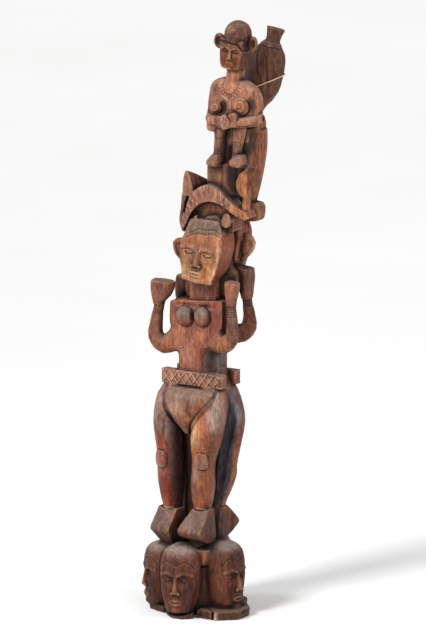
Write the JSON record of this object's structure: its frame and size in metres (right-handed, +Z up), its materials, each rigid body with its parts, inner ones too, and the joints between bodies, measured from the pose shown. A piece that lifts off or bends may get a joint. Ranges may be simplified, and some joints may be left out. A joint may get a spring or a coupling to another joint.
{
  "type": "carved wooden figure column",
  "caption": "Tall leaning carved log: standing figures back to back on a base of heads, a snake arch, and a small figure with a jar on top.",
  "frame": {"origin": "middle of the slab's flat underside", "axes": "+Z up, -Y towards the front of the standing figure, +X to a viewer's right"},
  "size_m": [0.4099, 0.3343, 1.8312],
  "materials": {
    "wood": "worn semi-gloss hardwood with dust on top faces",
    "twine": "dull twisted plant-fibre cord"
  },
  "bodies": {
    "root": {"figure": "wood", "twine": "twine"}
  },
  "joints": []
}
